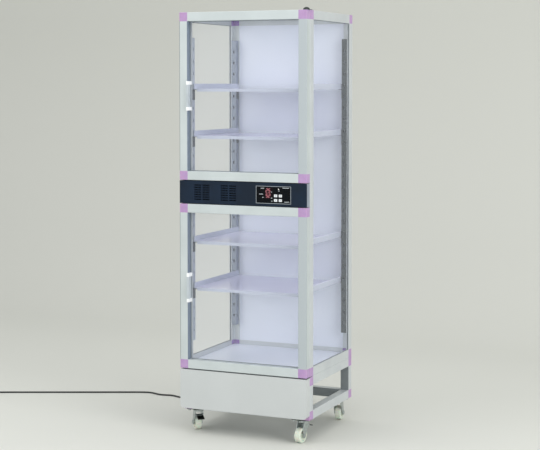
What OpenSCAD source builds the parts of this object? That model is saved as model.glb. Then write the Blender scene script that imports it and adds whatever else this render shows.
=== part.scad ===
// Tall two-door auto-dry desiccator cabinet on castors.
// X runs across the front, +Y to the back, +Z up. The origin is on the floor,
// under the middle of the cabinet with its door handles.

/* [Cabinet] */
// Width over the frame
width = 465; // [420:5:600]
// Depth from the face of the doors to the back
depth = 423; // [380:1:560]
// Height of the glazed body, without base and castors
body_h = 1209; // [1180:1:1400]
// Height of the base frame
base_h = 145; // [120:1:200]
// Height from the floor to the underside of the base frame
castor_h = 80; // [76:1:95]

/* [Frame] */
// Face width of every frame bar and corner joint
bar = 30; // [28:1:34]
// Thickness of each leg of the angle extrusion
leg_t = 9; // [8:0.5:11]
// Wall of the hollow extrusions
wall = 1.5; // [1.2:0.1:2]
// Radius on the outer edges of bars and joints
edge_r = 1.5; // [1:0.25:2.5]
// Thickness of the side, back and top panels
panel_t = 3; // [2:0.5:4]
// How deep a panel edge sits in its groove
panel_grip = 5.5; // [4:0.5:6]

/* [Doors] */
// Thickness of the doors
door_t = 27; // [25:1:32]
// Gap between the doors and the body
door_gap = 2; // [1.5:0.1:3]
// Gap above the top door
top_clear = 0.5; // [0.4:0.1:2]
// Gap under the bottom door
sill_clear = 1; // [1:0.1:1.5]
// Gap between each door and the control band
band_clear = 2; // [1.8:0.1:4]
// Distance of the hinge line from the right edge of the door
pivot_inset = 7; // [6:0.25:7.25]
// Radius of the hinge pins
pin_r = 3; // [2.5:0.25:3.5]
// How deep a hinge pin enters the door
pin_len = 18; // [10:1:22]
// Length of a door handle with its end caps
handle_len = 99; // [80:1:140]
// Drop from the top of the upper door to its handle
upper_handle_drop = 231; // [150:1:300]
// Drop from the top of the lower door to its handle
lower_handle_drop = 236; // [150:1:300]
// How far a handle stands out of the door
handle_out = 6; // [5:0.5:10]

/* [Control band] */
// Height of the underside of the control band
band_z = 790; // [760:1:830]
// Height of the control band
band_h = 77; // [74:1:90]
// Size of the display window, across
window_w = 123; // [110:1:130]
// Size of the display window, up
window_h = 55; // [50:1:58]
// Distance of the middle of the window from the right side
window_in = 118.5; // [110:0.5:140]
// Length of a vent slot
vent_slot_w = 26; // [20:1:28]
// Height of a vent slot
vent_slot_h = 3.5; // [2:0.25:4]
// Pitch of the vent slots
vent_pitch = 8; // [6:0.25:8.5]
// Number of vent slots in a column
vent_rows = 7; // [4:1:8]
// Travel of a key
key_travel = 0.7; // [0.4:0.1:0.9]

/* [Shelves] */
// Heights of the shelf tops above the underside of the body
shelf_heights = [272, 432, 792, 952];
// Thickness of the shelf plate
shelf_t = 3; // [2:0.5:4]
// Height of the upturned sides of a shelf
shelf_side_h = 17; // [10:1:20]
// Height of the front edge of a shelf
shelf_lip_h = 10; // [6:1:14]
// Distance from the front of the body to the front edge of the shelves
shelf_front = 17; // [12:1:30]
// Pitch of the slots in the shelf standards
slot_pitch = 40; // [30:1:50]
// Drop from the top of the body to the first slot
first_slot = 125; // [110:1:150]
// Width of a standard, front to back
std_w = 20; // [18:1:22]
// How far a standard reaches in from the side of the cabinet
std_in = 28; // [26:1:30]

/* [Castors] */
// Wheel diameter
wheel_d = 50; // [48:1:54]
// Wheel width
wheel_w = 21; // [18:1:24]
// Offset of the axle from the swivel axis
trail = 18; // [14:1:22]
// Distance of the swivel axis from the side of the base
castor_inset = 37; // [34:1:45]
// Side of the square castor plate
plate_w = 62; // [56:1:70]
// How far a brake lever turns
brake_turn = 14; // [8:1:16]
// Turn of each castor as the cabinet stands: front left, front right, rear left, rear right
castor_turns = [220, -8, 160, 186];

/* [Mains lead] */
// Diameter of the mains lead
cord_d = 6; // [5:0.5:7]
// Turns in the put-away coil, as turns across and turns up
coil_turns = [2, 2]; // [1:1:3]
// Diameter at the middle of the turns
coil_mean_d = 66; // [60:1:72]

/* [Hidden] */
$fn = 48;
eps = 0.01;

// Main planes
half_w = width / 2;
front_y = (handle_out - depth) / 2;
door_back_y = front_y + door_t;
body_y = door_back_y + door_gap;
rear_y = front_y + depth;
body_d = rear_y - body_y;
base_z = castor_h;
body_z = base_z + base_h;
top_z = body_z + body_h;
band_top = band_z + band_h;

// Clearances that several pieces share
free = 0.3;
pin_fit = 0.05;

// Doors
upper_door_z = band_top + band_clear;
upper_door_h = top_z - top_clear - upper_door_z;
lower_door_z = body_z + sill_clear;
lower_door_h = band_z - band_clear - lower_door_z;
pivot_x = half_w - pivot_inset;
pivot_y = front_y + door_t / 2;
pane_y = 21;
pane_t = 3;
pane_grip = 6;
seal_inset = pivot_inset + 2;
seal_w = 8;
handle_cap_h = 12;

// Colours
silver = [0.82, 0.84, 0.85];
mauve = [0.75, 0.67, 0.80];
clear = [0.80, 0.86, 0.90, 0.35];
lavender = [0.78, 0.79, 0.92, 0.6];
white = [0.86, 0.89, 0.93];
navy = [0.14, 0.19, 0.27];
zinc = [0.45, 0.48, 0.48];
dark = [0.12, 0.13, 0.14];
nylon = [0.85, 0.88, 0.82];

// ---------- helpers ----------

module mirror_if(yes, plane) {
  if (yes) mirror(plane) children();
  else children();
}

// Copies of a shape at the left and right side, facing inwards
module both_sides() {
  for (side = [-1, 1]) mirror_if(side > 0, [1, 0, 0]) translate([-half_w, 0, 0]) children();
}

// What to take off a square corner so that it becomes round
module corner_cut(r) {
  difference() {
    translate([-1, -1]) square(r + 1);
    translate([r, r]) circle(r);
  }
}

// A rectangle with four round corners
module round_rect(w, h, r) {
  difference() {
    square([w, h]);
    for (cx = [0, 1], cy = [0, 1])
      translate([cx * w, cy * h]) mirror_if(cx == 1, [1, 0]) mirror_if(cy == 1, [0, 1]) corner_cut(r);
  }
}

// Takes the sharpness off the three outer edges of a joint at its origin corner
module outer_edge_cuts(size, r) {
  translate([0, 0, -1]) linear_extrude(size + 2) corner_cut(r);
  translate([-1, 0, 0]) rotate([90, 0, 90]) linear_extrude(size + 2) corner_cut(r);
  translate([0, size + 1, 0]) rotate([90, 0, 0]) linear_extrude(size + 2) corner_cut(r);
}

// ---------- body frame ----------

groove_at = 3;
groove_w = panel_t + 0.2;
groove_d = panel_grip + 0.5;

// Angle extrusion: two hollow legs, each with a panel groove in its end
module frame_profile() {
  difference() {
    polygon([[0, 0], [bar, 0], [bar, leg_t], [leg_t, leg_t], [leg_t, bar], [0, bar]]);
    corner_cut(edge_r);
    translate([wall + 0.5, wall + 0.5]) square(leg_t - 2 * wall - 0.5);
    for (swap = [false, true]) mirror_if(swap, [1, -1]) {
      translate([bar - groove_d, groove_at]) square([groove_d + 1, groove_w]);
      translate([leg_t + wall, wall]) square([bar - groove_d - leg_t - 2 * wall, leg_t - 2 * wall]);
    }
  }
}

// Corner joint: three plates that carry on the legs of the bars
module body_joint() {
  difference() {
    cube(bar);
    translate([leg_t, leg_t, leg_t]) cube(bar);
    outer_edge_cuts(bar, edge_r);
    for (turn = [0, 1, 2]) rotate(a = 120 * turn, v = [1, 1, 1])
      translate([bar - groove_d, bar - groove_d, groove_at])
        cube([groove_d + 1, groove_d + 1, groove_w]);
  }
}

module body_posts() {
  color(silver) both_sides() for (back = [false, true])
    translate([0, back ? rear_y : body_y, body_z + bar]) mirror_if(back, [0, 1, 0])
      linear_extrude(body_h - 2 * bar) frame_profile();
}

module body_side_rails() {
  color(silver) both_sides() for (top = [false, true])
    translate([0, rear_y - bar, top ? top_z : body_z]) mirror_if(top, [0, 0, 1])
      rotate([90, 0, 0]) linear_extrude(body_d - 2 * bar) frame_profile();
}

// A bar across the cabinet, its corner edge at y and z
module cross_rail(y, z, back, top) {
  translate([-half_w + bar, y, z]) mirror_if(back, [0, 1, 0]) mirror_if(top, [0, 0, 1])
    rotate([90, 0, 90]) linear_extrude(width - 2 * bar) frame_profile();
}

module body_front_rails() {
  color(silver) {
    cross_rail(body_y, body_z, false, false);
    cross_rail(body_y, band_z, false, true);
    cross_rail(body_y, band_top, false, false);
    cross_rail(body_y, top_z, false, true);
  }
}

module body_rear_rails() {
  color(silver) {
    cross_rail(rear_y, body_z, true, false);
    cross_rail(rear_y, top_z, true, true);
  }
}

module body_corner_joints() {
  color(mauve) both_sides() for (back = [false, true], top = [false, true])
    translate([0, back ? rear_y : body_y, top ? top_z : body_z])
      mirror_if(back, [0, 1, 0]) mirror_if(top, [0, 0, 1]) body_joint();
}

// ---------- panels ----------

panel_edge = bar - panel_grip;

module side_panel() {
  translate([groove_at + 0.1, body_y + panel_edge, body_z + panel_edge])
    cube([panel_t, body_d - 2 * panel_edge, body_h - 2 * panel_edge]);
}

module left_side_panel() {
  color(clear) translate([-half_w, 0, 0]) side_panel();
}

module right_side_panel() {
  color(clear) mirror([1, 0, 0]) translate([-half_w, 0, 0]) side_panel();
}

module back_panel() {
  color(white) translate([-half_w + panel_edge, rear_y - groove_at - 0.1 - panel_t, body_z + panel_edge])
    cube([width - 2 * panel_edge, panel_t, body_h - 2 * panel_edge]);
}

module top_panel() {
  color(white) translate([-half_w + panel_edge, body_y + panel_edge, top_z - groove_at - 0.1 - panel_t])
    cube([width - 2 * panel_edge, body_d - 2 * panel_edge, panel_t]);
}

// Folded tray that lies on the bottom legs of the frame
tray_h = 6;
tray_t = 1.5;
module floor_tray() {
  inset = leg_t + 0.5;
  w = width - 2 * inset;
  d = body_d - 2 * inset;
  color(white) translate([-w / 2, body_y + inset, body_z + leg_t]) difference() {
    linear_extrude(tray_h) round_rect(w, d, 3);
    translate([tray_t, tray_t, -1]) linear_extrude(tray_h - tray_t + 1)
      round_rect(w - 2 * tray_t, d - 2 * tray_t, 1.5);
  }
}

// ---------- shelves ----------

std_t = 1.5;
std_bottom = 89;
std_drop = 84;
std_off = 2;
slot_w = 5;
slot_h = 10;
std_len = body_h - std_bottom - std_drop;
slot_count = floor((body_h - std_bottom - first_slot) / slot_pitch) + 1;

// Slotted channel that stands in the corner of a post, open towards the corner.
// Local x runs in from the side panel, local y from the door or the back.
module standard() {
  reach = std_in - leg_t;
  difference() {
    translate([leg_t, leg_t + std_off, body_z + std_bottom]) cube([reach, std_w, std_len]);
    translate([leg_t + std_t, leg_t, body_z + std_bottom - 1])
      cube([reach - 2 * std_t, std_off + std_w - std_t, std_len + 2]);
    for (i = [0 : slot_count - 1]) translate([0, 0, top_z - first_slot - i * slot_pitch - slot_h / 2]) {
      translate([std_in - std_t - 1, leg_t + std_off + (std_w - slot_w) / 2, 0]) cube([std_t + 2, slot_w, slot_h]);
      translate([leg_t + (reach - slot_w) / 2, leg_t + std_off + std_w - std_t - 1, 0])
        cube([slot_w, std_t + 2, slot_h]);
    }
  }
}

module at_posts() {
  both_sides() for (back = [false, true])
    translate([0, back ? rear_y : body_y, 0]) mirror_if(back, [0, 1, 0]) children();
}

module shelf_standards() {
  color([0.40, 0.43, 0.45]) at_posts() standard();
}

// Slot that carries a shelf: the first one below its plate
hook_gap = 12;
function hook_z(h) =
  top_z - first_slot - slot_pitch * ceil((body_h - first_slot - (h - shelf_t - hook_gap)) / slot_pitch);

bracket_t = 1.5;
bracket_reach = 14;
// Hooked angle under the corner of a shelf
module bracket(h) {
  under = body_z + h - shelf_t;
  foot = hook_z(h) - slot_h;
  y = leg_t + std_off + 2;
  w = std_w - 4;
  translate([std_in, y, foot]) cube([bracket_t, w, under - foot]);
  translate([std_in, y, under - bracket_t]) cube([bracket_reach, w, bracket_t]);
  hook_w = slot_w - 1;
  hook_x = std_in - std_t - 3;
  translate([hook_x, y + (w - hook_w) / 2, hook_z(h) - slot_h / 2 + free])
    cube([std_in + bracket_t - hook_x, hook_w, slot_h / 2]);
}

module shelf_brackets() {
  color(zinc) at_posts() for (h = shelf_heights) bracket(h);
}

shelf_gap = 0.5;
shelf_half = half_w - std_in - bracket_t - shelf_gap;
lip_half = half_w - std_in - bracket_reach - shelf_gap;
shelf_y = body_y + shelf_front;
shelf_d = body_d - 2 * shelf_front;

// Folded plate: flat floor, upturned sides, turned-down front edge
module shelf(h) {
  z = body_z + h;
  color(lavender) {
    translate([-shelf_half, shelf_y + shelf_d, z - shelf_t]) rotate([90, 0, 0]) linear_extrude(shelf_d)
      difference() {
        round_rect(2 * shelf_half, shelf_side_h + shelf_t, 2);
        translate([shelf_t, shelf_t]) square([2 * (shelf_half - shelf_t), shelf_side_h + 1]);
      }
    translate([-lip_half, shelf_y, z - shelf_lip_h]) cube([2 * lip_half, shelf_t, shelf_lip_h - shelf_t + eps]);
  }
}

module shelf_1() shelf(shelf_heights[3]);
module shelf_2() shelf(shelf_heights[2]);
module shelf_3() shelf(shelf_heights[1]);
module shelf_4() shelf(shelf_heights[0]);

// ---------- control band ----------

fascia_t = 3;
cap_w = bar;
housing_half = half_w - cap_w - free;
housing_back = body_y + bar - 1;
window_x = half_w - window_in;
vent_cols = [for (from_side = [68, 99, 167, 198]) from_side - half_w];
vent_block_h = (vent_rows - 1) * vent_pitch + vent_slot_h;
window_z = band_z + band_h / 2 - 1;
window_t = 1.5;
window_ledge = 3.5;
key_w = 11;
key_h = 8.5;
key_gap = 0.3;
key_pitch = [17, 15];
key_mid = [window_x + 16.7, band_z + 27.5];
lamp_d = 3;
lamp_at = [window_x + 18.3, band_z + 57];
digit_w = 25;
digit_h = 19;
digit_x = window_x - 21;
digit_z = [band_z + 33, band_z + 53];
board_y = front_y + 14;
board_t = 1.6;

// A solid that fills the window's width and height less an inset, from y to y + t
module window_block(inset, y, t) {
  translate([window_x - window_w / 2 + inset, y, window_z - window_h / 2 + inset])
    cube([window_w - 2 * inset, t, window_h - 2 * inset]);
}

module control_fascia() {
  color(navy) difference() {
    translate([-half_w, front_y + fascia_t, band_z]) rotate([90, 0, 0]) linear_extrude(fascia_t)
      round_rect(width, band_h, 0.8);
    window_block(0, front_y - 1, window_t + 1);
    window_block(window_ledge, front_y - 1, fascia_t + 2);
    for (x = vent_cols, i = [0 : vent_rows - 1])
      translate([x - vent_slot_w / 2, front_y - 1, band_z + (band_h - vent_block_h) / 2 + i * vent_pitch])
        cube([vent_slot_w, fascia_t + 2, vent_slot_h]);
  }
}

// Moulded block at each end of the band, bored at the right for the hinge pin
module control_end_caps() {
  color([0.55, 0.57, 0.60]) difference() {
    both_sides() translate([0, front_y + fascia_t, band_z]) linear_extrude(band_h)
      round_rect(cap_w, door_t - fascia_t, 0.8);
    translate([pivot_x, pivot_y, band_z - 1]) cylinder(r = pin_r + 0.02, h = band_h + 2);
  }
}

housing_t = 1.2;
back_slot_w = 6;
back_slot_pitch = 14;
back_slot_margin = 20;
// Sheet-metal box behind the fascia, open to the front, with a slotted back
module control_housing() {
  t = housing_t;
  y = front_y + fascia_t;
  color([0.70, 0.72, 0.74]) difference() {
    translate([-housing_half, y, band_z + free]) cube([2 * housing_half, housing_back - y, band_h - 2 * free]);
    translate([-housing_half + t, y - 1, band_z + free + t])
      cube([2 * (housing_half - t), housing_back - y - t + 1, band_h - 2 * free - 2 * t]);
    for (i = [0 : 9]) translate([vent_cols[0] + i * back_slot_pitch, housing_back - t - 1, band_z + back_slot_margin])
      cube([back_slot_w, t + 2, band_h - 2 * back_slot_margin]);
  }
}

fin_t = 2;
fin_depth = 12;
fin_margin = 4;
dry_margin = 2;
// Drying cartridge: a housing with cooling fins behind the vents
module dry_unit() {
  x = vent_cols[0] - vent_slot_w / 2 - dry_margin;
  w = vent_cols[3] - vent_cols[0] + vent_slot_w + 2 * dry_margin;
  fin_y = front_y + fascia_t + dry_margin;
  case_y = fin_y + fin_depth;
  z = band_z + free + housing_t;
  h = band_h - 2 * (free + housing_t);
  color([0.35, 0.37, 0.40]) {
    translate([x, case_y, z]) cube([w, housing_back - housing_t - fin_t - case_y, h]);
    for (i = [0 : 12]) translate([x + fin_t + i * (w - 3 * fin_t) / 12, fin_y, z + fin_margin])
      cube([fin_t, case_y - fin_y + eps, h - 2 * fin_margin]);
  }
}

board_w = 150;
board_x = window_x - 66;
module circuit_board() {
  z = band_z + free + housing_t;
  h = band_h - 2 * (free + housing_t);
  color([0.10, 0.35, 0.22]) {
    translate([board_x, board_y, z]) cube([board_w, board_t, h]);
    // key switches
    for (kx = [-0.5, 0.5], kz = [-0.5, 0.5])
      translate([key_mid[0] + kx * key_pitch[0], board_y, key_mid[1] + kz * key_pitch[1]]) rotate([90, 0, 0])
        cylinder(r = 3, h = board_y - (front_y + window_t + 7.5 + key_travel + free));
    // transformer, relay and capacitors behind the board
    translate([board_x + 8, board_y + board_t, z + 8]) cube([34, 18, 34]);
    translate([board_x + 52, board_y + board_t, z + 12]) cube([20, 15, 16]);
    for (i = [0, 1, 2]) translate([board_x + 84 + i * 16, board_y + board_t, z + 20]) rotate([-90, 0, 0]) cylinder(r = 5, h = 16);
  }
}

module display_digits() {
  color([0.35, 0.05, 0.06]) for (z = digit_z)
    translate([digit_x - digit_w / 2, front_y + window_t + 2, z - digit_h / 2])
      cube([digit_w, board_y - front_y - window_t - 2, digit_h]);
}

// Opening for each key and the lamp
module window_holes() {
  for (kx = [-0.5, 0.5], kz = [-0.5, 0.5])
    translate([key_mid[0] + kx * key_pitch[0] - key_w / 2 - key_gap, front_y - 1,
               key_mid[1] + kz * key_pitch[1] - key_h / 2 - key_gap])
      cube([key_w + 2 * key_gap, window_t + 2, key_h + 2 * key_gap]);
  translate([lamp_at[0], front_y + window_t + 1, lamp_at[1]]) rotate([90, 0, 0])
    cylinder(d = lamp_d + 0.1, h = window_t + 2);
}

module display_window() {
  color([0.08, 0.10, 0.11]) difference() {
    window_block(0.1, front_y + 0.1, window_t - 0.1);
    window_holes();
  }
}

bezel_w = 1.4;
module display_bezel() {
  color([0.55, 0.58, 0.60]) difference() {
    window_block(-bezel_w, front_y - 0.4, 0.4);
    window_block(0, front_y - 2, 4);
  }
}

module indicator_lamp() {
  color([0.85, 0.85, 0.8]) translate([lamp_at[0], board_y, lamp_at[1]]) rotate([90, 0, 0]) {
    cylinder(d = lamp_d, h = board_y - front_y + 0.2);
    cylinder(d = lamp_d + 1, h = 1);
  }
}

// Key cap with a wider foot behind the window
module key(kx, kz) {
  foot = 1;
  color([0.90, 0.91, 0.90]) translate([key_mid[0] + kx * key_pitch[0] / 2, 0, key_mid[1] + kz * key_pitch[1] / 2]) {
    translate([-key_w / 2, front_y + window_t + free, -key_h / 2]) rotate([90, 0, 0])
      linear_extrude(window_t + free + 1) round_rect(key_w, key_h, 1);
    translate([-key_w / 2 - foot, front_y + window_t + free, -key_h / 2 - foot])
      cube([key_w + 2 * foot, 1.2, key_h + 2 * foot]);
    translate([0, front_y + window_t + 7.5, 0]) rotate([90, 0, 0]) cylinder(r = 2, h = 7.5 - free - 1);
  }
}

module key_up() key(-1, 1);
module key_down() key(-1, -1);
module key_set() key(1, 1);
module key_mode() key(1, -1);

// ---------- base ----------

tube_t = 2;
tube_r = edge_r;
stub_len = 14;
gland_x = -half_w + bar + stub_len + 12;
gland_z = body_z - bar / 2;
gland_r = 5;

module tube_profile() {
  difference() {
    round_rect(bar, bar, tube_r);
    translate([tube_t, tube_t]) square(bar - 2 * tube_t);
  }
}

module base_bars() {
  color(silver) difference() {
    union() {
      both_sides() {
        for (y = [body_y, rear_y - bar]) translate([0, y, base_z + bar]) linear_extrude(base_h - 2 * bar) tube_profile();
        for (z = [base_z, body_z - bar]) translate([0, rear_y - bar, z]) rotate([90, 0, 0])
          linear_extrude(body_d - 2 * bar) tube_profile();
      }
      for (y = [body_y, rear_y - bar], z = [base_z, body_z - bar]) translate([-half_w + bar, y, z])
        rotate([90, 0, 90]) linear_extrude(width - 2 * bar) tube_profile();
    }
    translate([gland_x, rear_y - tube_t - 1, gland_z]) rotate([-90, 0, 0]) cylinder(r = gland_r + 0.05, h = tube_t + 2);
  }
}

// Cube joint with a stub for each of the three tubes
module base_joint() {
  fit = 0.2;
  s = bar - 2 * (tube_t + fit);
  difference() {
    cube(bar);
    outer_edge_cuts(bar, edge_r);
  }
  for (turn = [0, 1, 2]) rotate(a = 120 * turn, v = [1, 1, 1])
    translate([tube_t + fit, tube_t + fit, bar - eps]) cube([s, s, stub_len]);
}

// Seat for the lower hinge bracket in the top of the front right joint
bracket_plate_t = 1.6;
bracket_in = 12;
bracket_back = 20;
module base_corner_joints() {
  color(mauve) difference() {
    both_sides() for (back = [false, true], top = [false, true])
      translate([0, back ? rear_y : body_y, top ? body_z : base_z])
        mirror_if(back, [0, 1, 0]) mirror_if(top, [0, 0, 1]) base_joint();
    translate([pivot_x - bracket_in - 0.1, body_y - 1, body_z - bracket_plate_t])
      cube([bar, bracket_back + 1.1, bracket_plate_t + 1]);
  }
}

cover_t = 1.5;
cover_low = 9;
cover_gap = 3;
cover_r = 12;
// Folded cover in front of the base, with rounded lower corners
module front_cover() {
  h = base_h - cover_low - cover_gap;
  module outline(inset) difference() {
    translate([inset, inset]) square([width - 2 * inset, h - 2 * inset]);
    for (right = [false, true]) translate([right ? width - inset : inset, inset]) mirror_if(right, [1, 0])
      corner_cut(cover_r - inset);
  }
  color([0.80, 0.81, 0.81]) translate([-half_w, body_y, base_z + cover_low]) rotate([90, 0, 0]) difference() {
    linear_extrude(body_y - front_y) outline(0);
    translate([0, 0, -1]) linear_extrude(body_y - front_y - cover_t + 1) outline(cover_t);
  }
}

// ---------- castors ----------

castor_x = half_w - castor_inset;
castor_front_y = body_y + castor_inset - 3;
castor_rear_y = rear_y - castor_inset + 2;
plate_t = 2.5;
race_r = 20;
race_h = 5;
kingpin_r = 5;
crown_z = castor_h - plate_t - race_h - free;
crown_t = 5;
crown_r = 18;
axle_z = wheel_d / 2;
axle_r = 4;
arm_t = 2.5;
arm_gap = wheel_w / 2 + 1.5;
bolt_pitch = 45;
lever_pin_r = 2.5;
lever_pin_y = 9;
lever_pin_z = 54;

module castor_at(x, y, turn = 0) translate([x, y, 0]) rotate([0, 0, turn]) children();
module front_left() castor_at(-castor_x, castor_front_y, castor_turns[0]) children();
module front_right() castor_at(castor_x, castor_front_y, castor_turns[1]) children();
module rear_left() castor_at(-castor_x, castor_rear_y, castor_turns[2]) children();
module rear_right() castor_at(castor_x, castor_rear_y, castor_turns[3]) children();

// Fixed top plate with its bearing race and kingpin
module castor_plate() {
  translate([-plate_w / 2, -plate_w / 2, castor_h - plate_t]) difference() {
    linear_extrude(plate_t) round_rect(plate_w, plate_w, 4);
    for (bx = [-0.5, 0.5], by = [-0.5, 0.5])
      translate([plate_w / 2 + bx * bolt_pitch, plate_w / 2 + by * bolt_pitch, -1]) cylinder(r = 3.2, h = plate_t + 2);
  }
  translate([0, 0, castor_h - plate_t - race_h]) rotate_extrude() difference() {
    translate([0, 0]) square([race_r, race_h]);
    translate([race_r + 0.5, 0]) circle(2.5);
  }
  translate([0, 0, crown_z - crown_t - free]) cylinder(r = kingpin_r, h = crown_t + race_h);
  translate([0, 0, crown_z - crown_t - free - 3]) cylinder(r = kingpin_r + 3, h = 3);
}

module castor_plates() {
  color(dark) for (x = [-castor_x, castor_x], y = [castor_front_y, castor_rear_y]) castor_at(x, y) castor_plate();
}

// Side of a fork, in y and z, with a lug for the brake pin when there is one
module arm_outline(brake) {
  polygon([[-crown_r + 3, crown_z], [crown_r - 4, crown_z], [crown_r - 5, crown_z - 11], [-trail + 8.6, axle_z - 2.8],
           [-trail - 8.9, axle_z + 1.4]]);
  translate([-trail, axle_z]) circle(9);
  if (brake) translate([lever_pin_y, lever_pin_z]) circle(6);
}

module castor_fork(brake) {
  color(zinc) {
    difference() {
      union() {
        translate([0, 0, crown_z - crown_t]) cylinder(r = crown_r, h = crown_t);
        translate([-arm_gap - arm_t, -crown_r + 4, crown_z - crown_t])
          cube([2 * (arm_gap + arm_t), 2 * crown_r - 9, crown_t]);
        for (side = [-1, 1]) translate([side > 0 ? arm_gap : -arm_gap - arm_t, 0, 0])
          rotate([90, 0, 90]) linear_extrude(arm_t) arm_outline(brake);
      }
      translate([0, 0, crown_z - crown_t - 1]) cylinder(r = kingpin_r + pin_fit, h = crown_t + 2);
      translate([-50, -trail, axle_z]) rotate([0, 90, 0]) cylinder(r = axle_r + 0.02, h = 100);
      if (brake) translate([-50, lever_pin_y, lever_pin_z]) rotate([0, 90, 0]) cylinder(r = lever_pin_r + 0.02, h = 100);
    }
    // axle bolt with its head and nut
    translate([-arm_gap - arm_t - 3, -trail, axle_z]) rotate([0, 90, 0]) {
      cylinder(r = axle_r, h = 2 * (arm_gap + arm_t + 3));
      cylinder(r = 6.5, h = 3 - 0.05);
      translate([0, 0, 2 * (arm_gap + arm_t) + 3.05]) cylinder(r = 6.8, h = 3, $fn = 6);
    }
    if (brake) translate([-arm_gap - arm_t - 1, lever_pin_y, lever_pin_z]) rotate([0, 90, 0])
      cylinder(r = lever_pin_r, h = 2 * (arm_gap + arm_t + 1));
  }
}

module castor_fork_fl() front_left() castor_fork(true);
module castor_fork_fr() front_right() castor_fork(true);
module castor_fork_rl() rear_left() castor_fork(false);
module castor_fork_rr() rear_right() castor_fork(false);

// Moulded wheel: crowned tread, web and hub
module castor_wheel() {
  r = wheel_d / 2;
  half = wheel_w / 2;
  color(nylon) translate([0, -trail, axle_z]) rotate([0, 90, 0]) rotate_extrude() difference() {
    union() {
      translate([0, -half + 0.6]) square([7.5, wheel_w - 1.2]);
      translate([6, -half + 3.5]) square([r - 12, wheel_w - 7]);
      translate([r - 7, -half]) square([7, wheel_w]);
    }
    translate([-1, -half - 1]) square([axle_r + pin_fit + 1, wheel_w + 2]);
    for (side = [-1, 1]) translate([r, side * half]) mirror_if(side > 0, [0, 1]) mirror([1, 0]) corner_cut(2.5);
  }
}

module castor_wheel_fl() front_left() castor_wheel();
module castor_wheel_fr() front_right() castor_wheel();
module castor_wheel_rl() rear_left() castor_wheel();
module castor_wheel_rr() rear_right() castor_wheel();

function arc(r, from, to, n, at = [0, 0]) =
  [for (i = [0 : n]) let(turn = from + (to - from) * i / n) at + r * [cos(turn), sin(turn)]];

// Pedal that turns on the pin between the fork arms, with a nose that comes down on the tread
module brake_lever() {
  w = 2 * (arm_gap - 0.6);
  hub_r = 4.6;
  to_axle = [-trail - lever_pin_y, axle_z - lever_pin_z];
  nose_r = 2.5;
  nose_reach = norm(to_axle) - wheel_d / 2 - 0.4 - nose_r;
  nose_turn = 360 + atan2(to_axle[1], to_axle[0]) + brake_turn;
  outline = concat(
    [[12, -2.4], [34.6, -8], [34, -5], [12, 2]],
    arc(hub_r, 36, nose_turn - 35, 12),
    arc(nose_r, nose_turn - 90, nose_turn + 90, 6, nose_reach * [cos(nose_turn), sin(nose_turn)]),
    arc(hub_r, nose_turn + 35, 328, 3)
  );
  color(dark) translate([-w / 2, lever_pin_y, lever_pin_z]) difference() {
    rotate([90, 0, 90]) linear_extrude(w) polygon(outline);
    translate([-1, 0, 0]) rotate([0, 90, 0]) cylinder(r = lever_pin_r + pin_fit, h = w + 2);
  }
}

module brake_lever_fl() front_left() brake_lever();
module brake_lever_fr() front_right() brake_lever();

// ---------- hinges ----------

collar_r = 5;
collar_h = 0.7;
top_plate_t = 2;
cap_r = 10.25;
cap_h = 7;

// Bracket plate seen from above: round about the pin, then back over the body
module bracket_outline() {
  r = pivot_inset - 0.5;
  translate([-bracket_in, -r]) difference() {
    square([bracket_in + r, body_y + bracket_back - pivot_y + r]);
    corner_cut(r);
    translate([bracket_in + r, 0]) mirror([1, 0]) corner_cut(r);
  }
}

module hinge_brackets() {
  color([0.6, 0.62, 0.64]) translate([pivot_x, pivot_y, 0]) {
    // top plate and its pin
    translate([0, 0, top_z]) linear_extrude(top_plate_t) bracket_outline();
    translate([0, 0, top_z - top_clear - pin_len]) cylinder(r = pin_r, h = pin_len + top_clear + eps);
    // pin through the control band, with a collar at each door
    translate([0, 0, band_z - band_clear - pin_len]) cylinder(r = pin_r, h = band_h + 2 * (band_clear + pin_len));
    translate([0, 0, band_top]) cylinder(r = collar_r, h = band_clear - free);
    translate([0, 0, band_z - band_clear + free]) cylinder(r = collar_r, h = band_clear - free);
    // sill plate, let into the joint, with its pin and collar
    translate([0, 0, body_z - bracket_plate_t]) linear_extrude(bracket_plate_t) bracket_outline();
    translate([0, 0, body_z - eps]) cylinder(r = pin_r, h = sill_clear + pin_len + eps);
    translate([0, 0, body_z - eps]) cylinder(r = collar_r, h = sill_clear - free + eps);
  }
}

// Domed cap over the upper pin
module hinge_cap() {
  dome_r = (cap_r * cap_r + 25) / 10;
  color(dark) translate([pivot_x, pivot_y, top_z + top_plate_t]) rotate_extrude() {
    square([cap_r, cap_h - 5]);
    intersection() {
      translate([0, cap_h - dome_r]) circle(dome_r, $fn = 96);
      translate([0, cap_h - 5 - eps]) square([cap_r, 6]);
    }
  }
}

// ---------- doors ----------

door_wall = 2;

// Door bar: local x runs in from the edge of the door, local y back from its face
module door_profile() {
  difference() {
    round_rect(bar, door_t, edge_r);
    translate([door_wall, door_wall]) square([bar - pane_grip - 1 - 2 * door_wall, door_t - 2 * door_wall]);
    translate([bar - pane_grip - 0.5, pane_y - 0.1]) square([pane_grip + 2, pane_t + 0.2]);
    translate([bar - pane_grip - 1 - door_wall / 2, door_wall]) square([pane_grip - 1, pane_y - 2 * door_wall - 0.5]);
  }
}

module door_bars(z, h) {
  color(silver) {
    both_sides() translate([0, front_y, z + bar]) linear_extrude(h - 2 * bar) door_profile();
    for (top = [false, true]) translate([-half_w + bar, front_y, top ? z + h : z]) mirror_if(top, [0, 0, 1])
      rotate([90, 0, 90]) linear_extrude(width - 2 * bar) mirror([1, -1]) door_profile();
  }
}

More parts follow.
